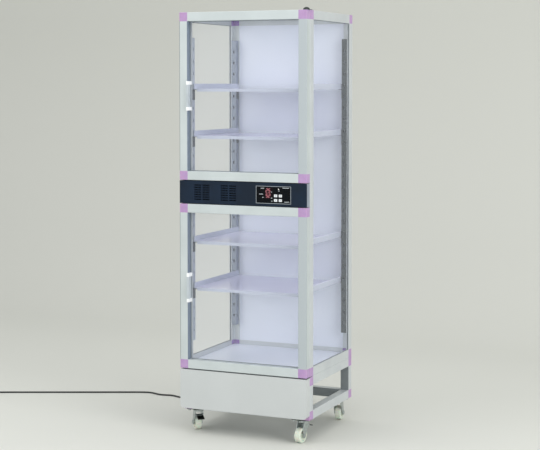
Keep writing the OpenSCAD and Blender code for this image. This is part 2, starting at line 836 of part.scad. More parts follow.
module door_corners(z, h) {
  color(mauve) difference() {
    both_sides() for (top = [false, true]) translate([0, front_y, top ? z + h : z]) mirror_if(top, [0, 0, 1]) difference() {
      cube([bar, door_t, bar]);
      translate([0, 0, -1]) linear_extrude(bar + 2) corner_cut(edge_r);
      translate([-1, 0, 0]) rotate([90, 0, 90]) linear_extrude(bar + 2) corner_cut(edge_r);
      translate([0, door_t + 1, 0]) rotate([90, 0, 0]) linear_extrude(door_t + 2) corner_cut(edge_r);
      translate([bar - pane_grip - 0.5, pane_y - 0.1, bar - pane_grip - 0.5]) cube([pane_grip + 2, pane_t + 0.2, pane_grip + 2]);
    }
    for (end = [z - 1, z + h - pin_len - 2]) translate([pivot_x, pivot_y, end]) cylinder(r = pin_r + pin_fit, h = pin_len + 3);
  }
}

module door_pane(z, h) {
  edge = bar - pane_grip;
  color(clear) translate([-half_w + edge, front_y + pane_y, z + edge]) cube([width - 2 * edge, pane_t, h - 2 * edge]);
}

// Four lengths of gasket on the back of the door
module door_seal(z, h) {
  t = door_gap - free;
  color([0.75, 0.76, 0.77]) translate([-half_w + seal_inset, door_back_y + t, z + seal_inset]) rotate([90, 0, 0])
    linear_extrude(t) difference() {
      round_rect(width - 2 * seal_inset, h - 2 * seal_inset, 2);
      translate([seal_w, seal_w]) round_rect(width - 2 * (seal_inset + seal_w), h - 2 * (seal_inset + seal_w), 1);
    }
}

handle_t = 6.5;
handle_back = 20;
// Finger pull on the inner edge of the left stile, with a moulded cap at each end
module door_handle(z, drop) {
  lip = 2;
  grip = [
    [-lip, -handle_out], [handle_t - 0.5, -handle_out], [handle_t - 0.5, 4], [handle_t - 2, 4], [handle_t - 2, -handle_out + 1.8],
    [1.5, -handle_out + 1.8], [1.5, handle_back], [0, handle_back], [0, 0], [-lip, 0]
  ];
  cap = [[-lip, -handle_out], [handle_t, -handle_out], [handle_t, handle_back], [0, handle_back], [0, 0], [-lip, 0]];
  translate([-half_w + bar, front_y, z - drop - handle_len]) {
    color(silver) translate([0, 0, handle_cap_h]) linear_extrude(handle_len - 2 * handle_cap_h) polygon(grip);
    color([0.90, 0.91, 0.92]) for (end = [0, handle_len - handle_cap_h]) translate([0, 0, end])
      linear_extrude(handle_cap_h) difference() {
        polygon(cap);
        translate([handle_t, -handle_out]) mirror([1, 0]) corner_cut(1.5);
      }
  }
}

module upper_door_bars() door_bars(upper_door_z, upper_door_h);
module upper_door_corners() door_corners(upper_door_z, upper_door_h);
module upper_door_pane() door_pane(upper_door_z, upper_door_h);
module upper_door_seal() door_seal(upper_door_z, upper_door_h);
module upper_door_handle() door_handle(upper_door_z + upper_door_h, upper_handle_drop);
module lower_door_bars() door_bars(lower_door_z, lower_door_h);
module lower_door_corners() door_corners(lower_door_z, lower_door_h);
module lower_door_pane() door_pane(lower_door_z, lower_door_h);
module lower_door_seal() door_seal(lower_door_z, lower_door_h);
module lower_door_handle() door_handle(lower_door_z + lower_door_h, lower_handle_drop);

// ---------- mains lead ----------

gland_flange = 2.5;
gland_len = 32;
gland_tip = rear_y + gland_flange + gland_len;
cord_r = cord_d / 2;
coil_rows = coil_turns[1];
coil_at = [-1191, 13];
coil_r = coil_mean_d / 2;
tail_len = 40;
plug_len = 44;
plug_h = 14;

// Where the lead runs: out of the gland, down to the floor, then along it
function cord_route() = let(x = gland_x, y = gland_tip, z = gland_z, f = cord_r) [
  [x, y, z], [x, y + 13, z], [x, y + 26.8, z - 2.7], [x, y + 38.5, z - 10.5], [x, y + 46.3, z - 22.2],
  [x, y + 49, z - 36], [x - 0.5, y + 49.5, z - 50], [x - 2, y + 49.5, z - 66], [x - 5, y + 49, z - 85],
  [x - 10, y + 47, z - 106], [x - 17, y + 45.5, z - 128], [x - 26, y + 43.5, z - 149],
  [x - 36.5, y + 41, z - 167.5], [x - 50, y + 38.5, z - 184], [x - 67, y + 35.5, z - 196.5],
  [x - 87, y + 32.5, z - 204.2], [x - 109, y + 30, z - 206.9], [x - 133, y + 28, f],
  [-346, 273.5, f], [-400, 270, f], [-440, 266.5, f], [-468, 268, f], [-492, 275, f], [-512, 283, f],
  [-530, 287, f], [-548, 284.5, f], [-566, 281.5, f], [-584, 284, f], [-603, 292, f], [-622, 297.5, f],
  [-644, 295, f], [-680, 282, f], [-790, 233, f], [-930, 171, f], [-1070, 109, f], [-1140, 78, f],
  [-1190, 54, f], coil_entry()
];
function coil_entry() = [coil_at[0], coil_at[1], cord_r] + (coil_r + cord_r) * [-0.40, 0.915, 0];

// A point on the smooth curve through four neighbours
function between(a, b, c, d, t) =
  0.5 * (2 * b + (c - a) * t + (2 * a - 5 * b + 4 * c - d) * t * t + (3 * b - a - 3 * c + d) * t * t * t);
function smooth_path(p, n) = let(last = len(p) - 1) concat(
  [for (i = [0 : last - 1], k = [0 : n - 1])
    between(p[max(i - 1, 0)], p[i], p[i + 1], p[min(i + 2, last)], k / n)],
  [p[last]]
);
function unit(v) = v / norm(v);

// A closed tube of straight rings along a path
module tube(path, r, sides = 8) {
  n = len(path);
  points = [for (i = [0 : n - 1])
    let(
      ahead = unit(path[min(i + 1, n - 1)] - path[max(i - 1, 0)]),
      across = unit(cross(ahead, abs(ahead[2]) > 0.9 ? [0, 1, 0] : [0, 0, 1])),
      up = cross(across, ahead)
    )
    for (k = [0 : sides - 1]) path[i] + r * (cos(360 * k / sides) * across + sin(360 * k / sides) * up)];
  faces = concat(
    [[for (k = [0 : sides - 1]) k]],
    [for (i = [0 : n - 2], k = [0 : sides - 1])
      let(a = i * sides + k, b = i * sides + (k + 1) % sides) [a, a + sides, b + sides, b]],
    [[for (k = [sides - 1 : -1 : 0]) (n - 1) * sides + k]]
  );
  polyhedron(points, faces);
}

module cord_gland() {
  color(dark) translate([gland_x, 0, gland_z]) rotate([-90, 0, 0]) {
    translate([0, 0, rear_y - tube_t - 2]) cylinder(r = gland_r, h = tube_t + 2);
    translate([0, 0, rear_y]) cylinder(r = 8.5, h = gland_flange);
    translate([0, 0, rear_y + gland_flange]) cylinder(r1 = 6.5, r2 = cord_r + 1, h = gland_len);
  }
}

module cord_lead() {
  color(dark) tube(smooth_path(cord_route(), 2), cord_r, 8);
}

module cord_coil() {
  w = coil_turns[0] * cord_d;
  color(dark) translate([coil_at[0], coil_at[1], 0]) rotate_extrude($fn = 64)
    translate([coil_r - w / 2, 0]) round_rect(w, coil_rows * cord_d, cord_d / 2 - eps);
}

// Leaves the top turn and comes down to the plug
tail_start = [coil_at[0] - coil_r, coil_at[1], (2 * coil_rows - 1) * cord_r];
tail_end = [coil_at[0] - coil_r - 3, coil_at[1] - tail_len, plug_h / 2];
module cord_tail() {
  color(dark) tube(smooth_path([
    tail_start, tail_start + [0, -14, 0], (tail_start + tail_end) / 2 + [1, -6, 1], tail_end
  ], 3), cord_r, 8);
}

// Moulded plug with two flat blades and a round earth pin
module cord_plug() {
  translate(tail_end) rotate([90, 0, 0]) {
    color(dark) {
      cylinder(r1 = cord_r + 1, r2 = 6, h = 16);
      translate([0, 0, 16]) linear_extrude(plug_len - 16) translate([-12, -plug_h / 2]) round_rect(24, plug_h, 4);
    }
    color([0.8, 0.72, 0.45]) {
      for (side = [-1, 1]) translate([side * 6.35 - 0.8, -4.5, plug_len]) cube([1.6, 6.3, 16]);
      translate([0, 4.6, plug_len]) cylinder(r = 2.2, h = 18);
    }
  }
}

body_posts();
body_side_rails();
body_front_rails();
body_rear_rails();
body_corner_joints();
left_side_panel();
right_side_panel();
back_panel();
top_panel();
floor_tray();
shelf_standards();
shelf_brackets();
shelf_1();
shelf_2();
shelf_3();
shelf_4();
control_housing();
control_fascia();
control_end_caps();
dry_unit();
circuit_board();
display_digits();
display_window();
display_bezel();
indicator_lamp();
key_up();
key_down();
key_set();
key_mode();
base_bars();
base_corner_joints();
front_cover();
castor_plates();
hinge_brackets();
hinge_cap();
upper_door_bars();
upper_door_corners();
upper_door_pane();
upper_door_seal();
upper_door_handle();
lower_door_bars();
lower_door_corners();
lower_door_pane();
lower_door_seal();
lower_door_handle();
castor_fork_fl();
castor_fork_fr();
castor_fork_rl();
castor_fork_rr();
castor_wheel_fl();
castor_wheel_fr();
castor_wheel_rl();
castor_wheel_rr();
brake_lever_fl();
brake_lever_fr();
cord_gland();
cord_lead();
cord_coil();
cord_tail();
cord_plug();
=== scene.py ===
import math

import bpy
import numpy as np
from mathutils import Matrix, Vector


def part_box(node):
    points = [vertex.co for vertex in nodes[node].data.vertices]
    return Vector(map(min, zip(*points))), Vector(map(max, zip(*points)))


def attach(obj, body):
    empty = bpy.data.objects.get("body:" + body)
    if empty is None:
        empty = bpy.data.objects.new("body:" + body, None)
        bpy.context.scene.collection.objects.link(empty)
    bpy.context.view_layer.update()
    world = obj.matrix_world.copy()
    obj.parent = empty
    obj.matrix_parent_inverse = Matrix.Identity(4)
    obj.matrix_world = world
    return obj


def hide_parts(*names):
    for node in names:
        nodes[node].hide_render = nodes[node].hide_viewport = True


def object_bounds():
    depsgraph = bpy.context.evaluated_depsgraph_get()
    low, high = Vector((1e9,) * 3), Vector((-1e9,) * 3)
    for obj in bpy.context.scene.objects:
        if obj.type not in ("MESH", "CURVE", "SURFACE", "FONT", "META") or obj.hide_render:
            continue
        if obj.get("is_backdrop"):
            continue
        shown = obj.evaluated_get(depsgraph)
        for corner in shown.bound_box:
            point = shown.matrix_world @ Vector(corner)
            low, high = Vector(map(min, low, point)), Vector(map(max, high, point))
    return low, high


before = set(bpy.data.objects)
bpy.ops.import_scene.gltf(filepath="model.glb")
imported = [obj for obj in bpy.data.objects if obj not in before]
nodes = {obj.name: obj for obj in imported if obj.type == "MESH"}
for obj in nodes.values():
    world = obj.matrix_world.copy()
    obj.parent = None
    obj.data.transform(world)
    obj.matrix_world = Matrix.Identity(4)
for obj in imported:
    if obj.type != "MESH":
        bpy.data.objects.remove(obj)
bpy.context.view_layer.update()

print("frame loaded:", len(nodes), "pieces")


def linear(text, alpha=1.0):
    # sRGB hex to linear: v / 12.92 below 0.04045, else ((v + 0.055) / 1.055) ^ 2.4
    v = np.array([int(text[i:i + 2], 16) for i in (1, 3, 5)]) / 255
    return (*np.where(v <= 0.04045, v / 12.92, ((v + 0.055) / 1.055) ** 2.4), alpha)


def addNode(tree, kind, inputs=None, **settings):
    node = tree.nodes.new("ShaderNode" + kind)
    for key, value in settings.items():
        setattr(node, key, value)
    for key, value in (inputs or {}).items():
        if isinstance(value, bpy.types.NodeSocket):
            tree.links.new(value, node.inputs[key])
        else:
            node.inputs[key].default_value = value
    return node


def addMesh(name, points, faces, material, body="cabinet", smooth=False):
    mesh = bpy.data.meshes.new(name)
    mesh.from_pydata(np.asarray(points, float).reshape(-1, 3).tolist(), [], faces)
    mesh.polygons.foreach_set("use_smooth", np.full(len(mesh.polygons), smooth))
    mesh.materials.append(material)
    mesh.update()
    piece = bpy.data.objects.new(name, mesh)
    bpy.context.scene.collection.objects.link(piece)
    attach(piece, body)
    return piece


def gridFaces(rows, cols, closed=True):
    # quads between neighbouring points of a rows by cols grid, wrapped round where closed
    r, c = np.meshgrid(np.arange(rows - 1), np.arange(cols if closed else cols - 1), indexing="ij")
    a, b = r * cols + c, r * cols + (c + 1) % cols
    return np.stack([a, b, b + cols, a + cols], -1).reshape(-1, 4).tolist()


surface = {
    "cloudDetail": 3.0,
    "cloudRange": (0.35, 0.65),     # noise values at which the first colour and the shade are pure
    "grainDetail": 2.0,
    "relief": 0.6,                  # share of the look's depth that shows
}


def finish(name, look):
    # body colour clouded by a second shade, with a fine grain in the gloss and the relief
    material = bpy.data.materials.new(name)
    material.use_nodes = True
    tree = material.node_tree
    shader = tree.nodes["Principled BSDF"]
    for socket in ("Metallic", "IOR", "Specular IOR Level", "Alpha", "Subsurface Weight"):
        if socket in look:
            shader.inputs[socket].default_value = look[socket]
    place = addNode(tree, "TexCoord").outputs["Object"]
    if "stretch" in look:
        place = addNode(tree, "Mapping", {"Vector": place, "Scale": look["stretch"]}).outputs[0]
    detail, scale = surface["cloudDetail"], 1000 / look["cloudMm"]
    cloud = addNode(tree, "TexNoise", {"Vector": place, "Scale": scale, "Detail": detail})
    low, high = surface["cloudRange"]
    tone = addNode(tree, "MapRange", {"Value": cloud.outputs[0], "From Min": low, "From Max": high})
    colour = addNode(tree, "Mix", data_type="RGBA")
    tree.links.new(tone.outputs[0], colour.inputs["Factor"])
    colour.inputs[6].default_value = linear(look["hex"])
    colour.inputs[7].default_value = linear(look["shade"])
    tree.links.new(colour.outputs[2], shader.inputs["Base Color"])
    detail, scale = surface["grainDetail"], 1000 / look["grainMm"]
    grain = addNode(tree, "TexNoise", {"Vector": place, "Scale": scale, "Detail": detail})
    low, high = look["gloss"]
    gloss = addNode(tree, "MapRange", {"Value": grain.outputs[0], "To Min": low, "To Max": high})
    tree.links.new(gloss.outputs[0], shader.inputs["Roughness"])
    strength, depth = surface["relief"], look["reliefMm"] / 1000
    relief = addNode(tree, "Bump", {"Height": grain.outputs[0], "Strength": strength, "Distance": depth})
    tree.links.new(relief.outputs[0], shader.inputs["Normal"])
    material.diffuse_color = linear(look["hex"])
    return material


# Satin anodised aluminium of the doors: cool silver grey, soft broad sheen, fine grain
anodised = {
    "hex": "#c7cfd0", "shade": "#c1c9ca", "Metallic": 0.35, "gloss": (0.36, 0.52),
    "cloudMm": 90, "grainMm": 0.9, "reliefMm": 0.015,
}
# The body's and the base's sections: the same finish, painted a shade lighter and more neutral than the
# doors as painted light
anodisedBodyLit = dict(anodised, hex="#cacfd1", shade="#c3c8cb")
# Moulded ABS in pale mauve: matt with a fine spark-eroded grain
mauveAbs = {
    "hex": "#b291bc", "shade": "#aa8ab6", "IOR": 1.53, "gloss": (0.38, 0.5),
    "cloudMm": 18, "grainMm": 0.7, "reliefMm": 0.03, "Subsurface Weight": 0.08,
}
# Cast acrylic sheet: clear with a faint blue cast and a polished face
clearAcrylic = {
    "hex": "#eaf0f8", "shade": "#e4ebf5", "IOR": 1.49, "Alpha": 0.06, "gloss": (0.02, 0.05),
    "cloudMm": 300, "grainMm": 40, "reliefMm": 0.01,
}
# Powder-coated steel sheet in a pale blue white: smooth with a slight orange peel
paleCoat = {
    "hex": "#dfe4ef", "shade": "#d9dfeb", "IOR": 1.5, "gloss": (0.3, 0.42),
    "cloudMm": 240, "grainMm": 2.2, "reliefMm": 0.02,
}
# Opal sheet of the roof: the same pale blue white, lets most of the light through
opalSheet = dict(paleCoat, Alpha=0.35, gloss=(0.2, 0.3), grainMm=6)
# Lavender PET sheet with folded edges: glossy and nearly opaque
lavenderSheet = {
    "hex": "#e6e6fa", "shade": "#e0dff8", "IOR": 1.57, "Alpha": 0.88, "gloss": (0.12, 0.2),
    "cloudMm": 160, "grainMm": 6, "reliefMm": 0.01,
}
# Zinc-plated steel channel: dull dark grey with faint rolling lines along it
zincSteel = {
    "hex": "#6d7275", "shade": "#5f6467", "Metallic": 0.6, "gloss": (0.4, 0.58), "stretch": (1, 1, 0.05),
    "cloudMm": 14, "grainMm": 0.8, "reliefMm": 0.02,
}
# Black-lacquered steel of the shelf brackets: half gloss
bracketLacquer = {
    "hex": "#4b4f50", "shade": "#424647", "IOR": 1.5, "gloss": (0.35, 0.5),
    "cloudMm": 12, "grainMm": 0.9, "reliefMm": 0.02,
}
# Textured ABS in dark navy: matt, fine grain
navyAbs = {
    "hex": "#0d2034", "shade": "#0b1a2a", "IOR": 1.53, "Specular IOR Level": 0.2, "gloss": (0.5, 0.64),
    "cloudMm": 60, "grainMm": 0.6, "reliefMm": 0.03,
}
# Near-black ABS of the drying cartridge behind the slots: matt
cartridgeAbs = dict(navyAbs, hex="#0b1016", shade="#080c11")
# Matt grey ABS of the band's end blocks and the keys' signs
greyAbs = dict(navyAbs, hex="#8b929d", shade="#828995")
# Stove-enamelled sheet of the base cover: light warm grey, even satin
coverEnamel = {
    "hex": "#c0c4c4", "shade": "#bcc0c0", "IOR": 1.5, "gloss": (0.36, 0.46),
    "cloudMm": 200, "grainMm": 1.6, "reliefMm": 0.015,
}
# Black-oxide steel of the castor plates and the hinge cap
blackSteel = {
    "hex": "#3a403c", "shade": "#2f3431", "Metallic": 0.6, "gloss": (0.32, 0.5),
    "cloudMm": 9, "grainMm": 0.8, "reliefMm": 0.03,
}
# Bright zinc-plated pressed steel of the forks, brake levers and bolts
brightZinc = {
    "hex": "#bcc3c1", "shade": "#a4acab", "Metallic": 0.85, "gloss": (0.24, 0.4),
    "cloudMm": 7, "grainMm": 0.9, "reliefMm": 0.02,
}
# Off-white nylon wheel: waxy, faintly greenish, slightly scuffed on the tread
nylonWheel = {
    "hex": "#d9dfd1", "shade": "#d0d7c9", "IOR": 1.53, "gloss": (0.34, 0.52), "Subsurface Weight": 0.12,
    "cloudMm": 6, "grainMm": 0.9, "reliefMm": 0.04,
}
# Black moulded nylon of the gland and the plug
blackNylon = {
    "hex": "#202322", "shade": "#181a1a", "IOR": 1.53, "gloss": (0.35, 0.5),
    "cloudMm": 12, "grainMm": 0.6, "reliefMm": 0.03,
}
# Soft PVC jacket: black, slightly waxy
blackPvc = {
    "hex": "#17191a", "shade": "#101213", "IOR": 1.54, "gloss": (0.36, 0.48),
    "cloudMm": 20, "grainMm": 1.2, "reliefMm": 0.02,
}
# Clear grey glazing rubber beside the panes: satin; its strips also stand in for the shadow in the grooves
# there, a painted shade
glazingRubberAndShade = {
    "hex": "#7d848a", "shade": "#757c82", "IOR": 1.5, "gloss": (0.5, 0.65),
    "cloudMm": 10, "grainMm": 0.8, "reliefMm": 0.02,
}
# Foamed seal strip: dull dark grey
sealFoam = {
    "hex": "#5a6064", "shade": "#4f5559", "IOR": 1.5, "gloss": (0.7, 0.85),
    "cloudMm": 5, "grainMm": 0.8, "reliefMm": 0.05,
}
# Solder mask over fibreglass: deep green, glossy
circuitGreen = {
    "hex": "#1f5a3a", "shade": "#194c31", "IOR": 1.5, "gloss": (0.2, 0.35),
    "cloudMm": 8, "grainMm": 1.0, "reliefMm": 0.02,
}
# Smoked polycarbonate of the display window
smokedPane = {
    "hex": "#03070c", "shade": "#020509", "IOR": 1.58, "Specular IOR Level": 0.12, "Alpha": 0.84,
    "gloss": (0.05, 0.1), "cloudMm": 80, "grainMm": 8, "reliefMm": 0.004,
}
# White ABS of the keys
whiteAbs = {
    "hex": "#e2e5e7", "shade": "#dadde0", "IOR": 1.53, "gloss": (0.3, 0.42),
    "cloudMm": 8, "grainMm": 0.6, "reliefMm": 0.02,
}
# Screen-printed light grey line round the window
paleInk = {
    "hex": "#9aa2a8", "shade": "#929aa0", "IOR": 1.5, "gloss": (0.45, 0.55),
    "cloudMm": 10, "grainMm": 0.8, "reliefMm": 0.01,
}


def placeOf(material, output="Object"):
    # the piece's own place or normal, so that a mask stays with it when it moves
    coordinates = next(n for n in material.node_tree.nodes if n.type == "TEX_COORD")
    return coordinates.outputs[output]


def parted(material, output="Object"):
    return addNode(material.node_tree, "SeparateXYZ", {0: placeOf(material, output)}).outputs


def maths(material, operation, a, b=0.0):
    return addNode(material.node_tree, "Math", {0: a, 1: b}, operation=operation).outputs[0]


def vectorMaths(material, operation, a, b):
    return addNode(material.node_tree, "VectorMath", {0: a, 1: b}, operation=operation).outputs


def overlay(material, mask, hexText):
    # the given colour wherever the mask is 1, the finish's own colour elsewhere
    tree = material.node_tree
    socket = tree.nodes["Principled BSDF"].inputs["Base Color"]
    final = addNode(tree, "Mix", data_type="RGBA")
    tree.links.new(mask, final.inputs["Factor"])
    tree.links.new(socket.links[0].from_socket, final.inputs[6])
    final.inputs[7].default_value = linear(hexText)
    tree.links.new(final.outputs[2], socket)


def twoTone(name, look, ends, axis, low, high):
    # the look between low and high along one axis, the ends' colour beyond: |place - middle| > half
    material = finish(name, look)
    offset = maths(material, "SUBTRACT", parted(material)[axis], (low + high) / 2)
    distance = maths(material, "ABSOLUTE", offset)
    overlay(material, maths(material, "GREATER_THAN", distance, (high - low) / 2), ends)
    return material


def paintedInwardShade(name, look, hexText, centre, axes=(1, 1, 1)):
    # faces turned towards the centre take the second colour, a painted shade: normal . (place - centre) < 0,
    # with a little slack so that faces edge on to it keep the first
    slack = 0.01
    material = finish(name, look)
    out = vectorMaths(material, "SUBTRACT", placeOf(material), centre)["Vector"]
    out = vectorMaths(material, "MULTIPLY", out, axes)["Vector"]
    facing = vectorMaths(material, "DOT_PRODUCT", placeOf(material, "Normal"), out)["Value"]
    overlay(material, maths(material, "LESS_THAN", facing, -slack), hexText)
    return material


# a face looks along an axis when its normal lies within 60 degrees of it
facingCos = 0.5

doorTube = {
    "middle": (0.0, 0.0, 0.83),
    "doorwayShade": "#7f8b99",       # painted shade on the faces turned into the doorway
    "arrisShade": "#66707a",       # painted shade: a dark line along the outer edge
    "arrisFromX": 0.2306,
    "arrisFromY": -0.2068,
    "hinge": "#b1b9bd",       # painted shade on the front of the tube on the hinge side
    "hingeFromX": 0.2025,
}


# painted shade on the door tubes: darker inner walls, a dark line along the outer edge and a darker front on
# the hinge side
def doorSteelWithShade():
    material = paintedInwardShade("satinAnodisedStileShaded", anodised, doorTube["doorwayShade"], doorTube["middle"], (1, 0, 0))
    x, y, _ = parted(material)
    wide = maths(material, "GREATER_THAN", maths(material, "ABSOLUTE", x), doorTube["arrisFromX"])
    ahead = maths(material, "LESS_THAN", y, doorTube["arrisFromY"])
    overlay(material, maths(material, "MULTIPLY", wide, ahead), doorTube["arrisShade"])
    hinge = maths(material, "GREATER_THAN", x, doorTube["hingeFromX"])
    front = maths(material, "LESS_THAN", parted(material, "Normal")[1], -facingCos)
    overlay(material, maths(material, "MULTIPLY", hinge, front), doorTube["hinge"])
    return material


def shelfSheetWithShade():
    # the folds take a painted shade, duller than the plates
    material = finish("lavenderShelfShaded", lavenderSheet)
    level = maths(material, "ABSOLUTE", parted(material, "Normal")[2])
    overlay(material, maths(material, "LESS_THAN", level, facingCos), "#bcc2d4")
    return material


def standardSteelLitAndShaded():
    # painted light and shade: the right pair painted dark, the front left one pale, the rear left one
    # between them
    pale = dict(zincSteel, hex="#bcc3ca", shade="#aeb5bd")
    material = twoTone("zincStandardsLitAndShaded", pale, "#4c5152", 0, -1.0, 0.0)
    x, y, _ = parted(material)
    left, rear = maths(material, "LESS_THAN", x), maths(material, "GREATER_THAN", y)
    overlay(material, maths(material, "MULTIPLY", left, rear), "#8e96a5")
    return material


dippedEnd = 0.026     # metres from the swivel axis to where the levers turn black


def dippedLever(name, axis):
    material = finish(name, brightZinc)
    flat = vectorMaths(material, "MULTIPLY", placeOf(material), (1, 1, 0))["Vector"]
    reach = vectorMaths(material, "DISTANCE", flat, (*axis, 0))["Value"]
    overlay(material, maths(material, "GREATER_THAN", reach, dippedEnd), "#1d2020")
    return material


bodyMiddle = (0.0, 0.0175, 0.83)
baseMiddle = (0.0, 0.0175, 0.15)
endGrey = finish("greyAbs", greyAbs)
grooveShadeRubber = finish("glazingRubberAndShade", glazingRubberAndShade)
brightSteel = finish("brightZincSteel", brightZinc)
pvc = finish("blackPvc", blackPvc)

dressing = {
    doorSteelWithShade(): "upper_door_bars lower_door_bars",
    finish("satinAnodisedBodyLit", anodisedBodyLit): "body_posts body_side_rails body_front_rails body_rear_rails",
    # base tubes: painted shade, darker on the faces turned to the front or rear towards the middle
    paintedInwardShade("satinAnodisedBaseShaded", anodisedBodyLit, "#878d90", baseMiddle, (0, 1, 0)): "base_bars",
    finish("mauveAbs", mauveAbs): "base_corner_joints upper_door_corners lower_door_corners",
    # body joints: painted shade, a deeper mauve on the faces turned into the cabinet
    paintedInwardShade("mauveAbsJointShaded", mauveAbs, "#8f6fae", bodyMiddle): "body_corner_joints",
    finish("clearAcrylic", clearAcrylic): "left_side_panel right_side_panel upper_door_pane lower_door_pane",
    finish("paleBlueCoat", paleCoat): "back_panel floor_tray",
    finish("opalSheet", opalSheet): "top_panel",
    shelfSheetWithShade(): "shelf_1 shelf_2 shelf_3 shelf_4",
    standardSteelLitAndShaded(): "shelf_standards",
    finish("dullZincSteel", zincSteel): "hinge_brackets",
    finish("blackLacquerSteel", bracketLacquer): "shelf_brackets",
    finish("navyAbs", navyAbs): "control_fascia control_housing",
    finish("cartridgeAbs", cartridgeAbs): "dry_unit",
    endGrey: "control_end_caps",
    finish("greyEnamel", coverEnamel): "front_cover",
    finish("blackOxideSteel", blackSteel): "castor_plates hinge_cap",
    brightSteel: "castor_fork_fl castor_fork_fr castor_fork_rl castor_fork_rr",
    finish("offWhiteNylon", nylonWheel): "castor_wheel_fl castor_wheel_fr castor_wheel_rl castor_wheel_rr",
    dippedLever("dippedLeverL", (-0.1955, -0.1455)): "brake_lever_fl",
    dippedLever("dippedLeverR", (0.1955, -0.1455)): "brake_lever_fr",
    finish("blackNylon", blackNylon): "cord_gland",
    finish("sealFoam", sealFoam): "upper_door_seal lower_door_seal",
    finish("solderMask", circuitGreen): "circuit_board",
    finish("smokedPolycarbonate", smokedPane): "display_window",
    finish("whiteAbs", whiteAbs): "key_up key_down key_set key_mode",
    finish("paleGreyInk", paleInk): "display_bezel",
}
print("finishes made")

# grip strips in a pale grey between white end caps
gripGrey = dict(greyAbs, hex="#b9c1c6", shade="#b2babf")
gripCap = 0.012
for door in ("upper", "lower"):
    name = door + "_door_handle"
    low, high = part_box(name)
    dressing[twoTone(door + "Grip", gripGrey, "#eef0f1", 2, low.z + gripCap, high.z - gripCap)] = name
# black plug body with brass blades in front of it; the bound behind is clear of the body
blade = 0.0179
clear = 0.01
low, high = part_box("cord_plug")
dressing[twoTone("plugAndBlades", blackNylon, "#c9ab62", 1, low.y + blade, high.y + clear)] = "cord_plug"


def wear(name, material):
    nodes[name].data.materials.clear()
    nodes[name].data.materials.append(material)


for material, names in dressing.items():
    for name in names.split():
        wear(name, material)
print("pieces dressed")


display = {
    "rows": ("25", "52"),
    "height": 0.0116,
    "width": 0.0058,
    "pitch": 0.0090,
    "bar": 0.0016,
    "gap": 0.0004,         # between the ends of two bars
    "relief": 0.0003,      # how far the bars stand proud of the module
    "spacing": 0.017,
    "lean": 0.12,
    "litHex": "#ffa4ae",
    "litStrength": 26.0,
    "glowHex": "#a80c26",
    "glowStrength": 0.5,
    "darkHex": "#3a0a0d",
}


def glowing(name, hexText, strength, gloss=0.4):
    material = bpy.data.materials.new(name)
    material.use_nodes = True
    shader = material.node_tree.nodes["Principled BSDF"]
    shader.inputs["Base Color"].default_value = linear(hexText)
    shader.inputs["Roughness"].default_value = gloss
    shader.inputs["Emission Color"].default_value = linear(hexText)
    shader.inputs["Emission Strength"].default_value = strength
    return material


def slabs(outlines, y, depth):
    # each outline in x and z is carried back from y by depth: front ring, back ring, sides between
    outlines = np.asarray(outlines, float)
    count, n = outlines.shape[:2]
    front = np.insert(outlines, 1, y, axis=2)
    back = np.insert(outlines, 1, y + depth, axis=2)
    points = np.concatenate([front, back], 1).reshape(-1, 3)
    faces = []
    for k in range(count):
        a = k * 2 * n
        faces.append(list(range(a, a + n)))
        faces.append(list(range(a + 2 * n - 1, a + n - 1, -1)))
        faces += [[a + i, a + n + i, a + n + (i + 1) % n, a + (i + 1) % n] for i in range(n)]
    return points, faces


def barOutlines(centres, upright, length, width):
    # six-sided bar with pointed ends, lying or upright
    half, w = length / 2, width / 2
    shape = np.array([[-half, 0], [-half + w, -w], [half - w, -w], [half, 0], [half - w, w], [-half + w, w]])
    onEnd = shape[:, ::-1] * [-1, 1]
    return np.asarray(centres)[:, None] + np.where(np.asarray(upright)[:, None, None], onEnd, shape)


def digitBars():
    # bars a to g of each digit; the lit ones first
    h, w = display["height"] / 2, display["width"] / 2
    middle = np.array([[0, h], [w, h / 2], [w, -h / 2], [0, -h], [-w, -h / 2], [-w, h / 2], [0, 0]])
    upright = np.array([0, 1, 1, 0, 1, 1, 0], bool)
    shown = {"2": "abged", "5": "afgcd"}
    lit, dark = [], []
    low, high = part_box("display_digits")
    for row, text in enumerate(display["rows"]):
        z = (low.z + high.z) / 2 + (0.5 - row) * display["spacing"]
        for place, digit in enumerate(text):
            x = (low.x + high.x) / 2 + (place - 0.5) * display["pitch"]
            for bar in range(7):
                length = (display["height"] / 2 if upright[bar] else display["width"]) - display["gap"]
                outline = barOutlines([middle[bar]], [upright[bar]], length, display["bar"])[0]
                outline[:, 0] += display["lean"] * outline[:, 1]
                (lit if "abcdefg"[bar] in shown[digit] else dark).append(outline + [x, z])
    return lit, dark, low.y


litBars, darkBars, moduleFace = digitBars()
wear("display_digits", glowing("ledResin", display["glowHex"], display["glowStrength"]))
relief = display["relief"]
points, faces = slabs(litBars, moduleFace - relief, relief)
ledLit = glowing("ledLit", display["litHex"], display["litStrength"])
lit = addMesh("display_lit_bars", points, faces, ledLit)
points, faces = slabs(darkBars, moduleFace - relief, relief)
unlit = addMesh("display_unlit_bars", points, faces, glowing("ledUnlit", display["darkHex"], 0.0))

# plain dashes beside the digits and keys, as thin as print
marks = {
    # x, z and width in mm
    "places": [(74.2, 848.9, 12), (69.7, 829.4, 14), (75.9, 818.7, 5), (107, 836.9, 3.4), (107.5, 817, 5),
               (108.5, 807.2, 5), (158, 851.3, 23), (158, 805.2, 10), (167, 805.6, 7), (133.7, 841.4, 5)],
    "height": 1.5,
    "ink": 0.00012,        # metres
    "hex": "#c9cfd2",
    "gloss": 0.6,
}
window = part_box("display_window")[0].y
unit = np.array([[-0.5, -0.5], [0.5, -0.5], [0.5, 0.5], [-0.5, 0.5]])
outlines = [unit * [w, marks["height"]] + [x, z] for x, z, w in marks["places"]]
points, faces = slabs(np.array(outlines) / 1000, window - marks["ink"], marks["ink"])
dashes = addMesh("window_marks", points, faces, glowing("printedWhite", marks["hex"], 0.0, marks["gloss"]))

